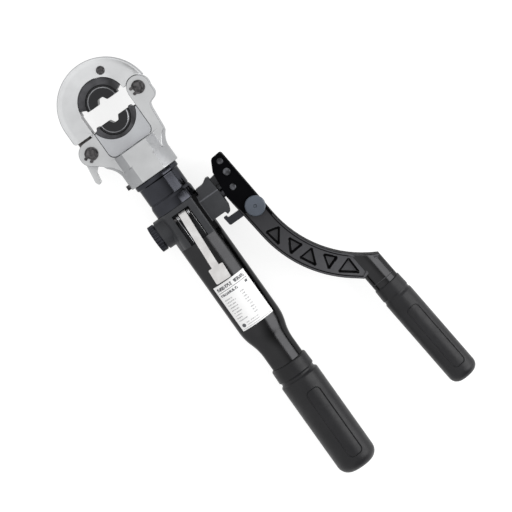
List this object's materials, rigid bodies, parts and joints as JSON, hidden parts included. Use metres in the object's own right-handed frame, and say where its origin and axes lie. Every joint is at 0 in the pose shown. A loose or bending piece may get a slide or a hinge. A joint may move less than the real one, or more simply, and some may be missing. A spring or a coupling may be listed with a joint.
{
  "type": "hydraulic crimping tool",
  "caption": "Hand-pumped hydraulic crimping tool with a flip-top crimping head, hexagonal dies, release lever, oil reservoir and a locking pump handle.",
  "frame": {"origin": "centre of the crimp, on the upper die's parting face and the body's axis", "axes": "+X across the tool towards the pump handle, +Y along the body towards the head, +Z out of the front, up when the tool lies on its back"},
  "size_m": [0.2269, 0.54, 0.063],
  "materials": {
    "satin_steel": "satin plated forging",
    "holder_steel": "ground steel",
    "black_oxide": "black oxide",
    "dark_pin": "phosphated",
    "ground_steel": "ground",
    "bronze": "turned",
    "seal_rubber": "moulded",
    "satin_black": "satin",
    "black_alloy": "powder coated",
    "gloss_black": "gloss",
    "pin_steel": "turned",
    "bright_plate": "bright zinc plate",
    "blue_grey": "satin",
    "grip_rubber": "moulded, matt",
    "label": "printed film"
  },
  "bodies": {
    "tool_body": {"ram_cylinder": "satin_black", "ram_bush": "bronze", "ram_spring": "ground_steel", "valve_block": "black_alloy", "relief_cap": "satin_black", "pump_gland": "pin_steel", "plunger_seal": "seal_rubber", "lever_pin": "dark_pin", "lever_springs": "ground_steel", "reservoir_tube": "gloss_black", "oil_bladder": "seal_rubber", "label_plate": "label", "fixed_grip": "grip_rubber"},
    "head": {"head_yoke": "satin_steel", "hinge_pin": "dark_pin", "latch_pin": "dark_pin", "pin_clips": "dark_pin", "swivel_screw": "dark_pin"},
    "jaw": {"upper_jaw": "satin_steel", "catch_pin": "dark_pin", "upper_adapter": "black_oxide", "upper_die": "black_oxide"},
    "button": {"die_button": "dark_pin"},
    "latch": {"latch": "satin_steel"},
    "ram": {"ram": "ground_steel", "piston_seal": "seal_rubber", "die_holder": "holder_steel", "lower_adapter": "black_oxide", "lower_die": "black_oxide"},
    "handle": {"handle_arm": "black_alloy", "fulcrum_pin": "pin_steel", "plunger_pin": "pin_steel", "fork_rivet": "pin_steel", "handle_tube": "gloss_black", "handle_grip": "grip_rubber"},
    "plunger": {"pump_plunger": "pin_steel"},
    "lock": {"lock_hook": "satin_black", "lock_knob": "blue_grey"},
    "lever": {"release_lever": "bright_plate"},
    "release_pin": {"release_pin": "ground_steel"}
  },
  "joints": [
    {"name": "head_swivel", "type": "hinge", "parent": "tool_body", "child": "head", "pos_m": [0, -0.09, 0], "axis": [0, 1, 0], "range_deg": [-90, 90]},
    {"name": "jaw_hinge", "type": "hinge", "parent": "head", "child": "jaw", "pos_m": [0.041, -0.0085, 0], "axis": [0, 0, -1], "range_deg": [0, 60]},
    {"name": "latch_pivot", "type": "hinge", "parent": "head", "child": "latch", "pos_m": [-0.0425, -0.0385, 0], "axis": [0, 0, 1], "range_deg": [-6, 18], "stiffness_Nm_per_rad": 0.6},
    {"name": "ram_slide", "type": "slide", "parent": "head", "child": "ram", "axis": [0, 1, 0], "range_m": [0, 0.0195], "deforming": ["ram_spring"]},
    {"name": "die_button_press", "type": "slide", "parent": "jaw", "child": "button", "axis": [0, 0, -1], "range_m": [0, 0.002], "stiffness_N_per_m": 900},
    {"name": "handle_pump", "type": "hinge", "parent": "tool_body", "child": "handle", "pos_m": [0.066, -0.139, 0], "axis": [0, 0, 1], "range_deg": [0, 45]},
    {"name": "plunger_slide", "type": "slide", "parent": "tool_body", "child": "plunger", "axis": [1, 0, 0], "range_m": [0, 0.014]},
    {"name": "handle_lock", "type": "hinge", "parent": "handle", "child": "lock", "pos_m": [0.07, -0.1873, 0], "axis": [0, 0, 1], "range_deg": [-4, 20]},
    {"name": "release_press", "type": "hinge", "parent": "tool_body", "child": "lever", "pos_m": [0, -0.15, 0.021], "axis": [1, 0, 0], "range_deg": [0, 4], "stiffness_Nm_per_rad": 3},
    {"name": "release_pin_slide", "type": "slide", "parent": "tool_body", "child": "release_pin", "axis": [0, 0, -1], "range_m": [0, 0.0012]}
  ],
  "couplings": [
    {"joint": "plunger_slide", "follows": "handle_pump", "m_per_rad": 0.01725},
    {"joint": "release_pin_slide", "follows": "release_press", "m_per_rad": 0.013}
  ]
}
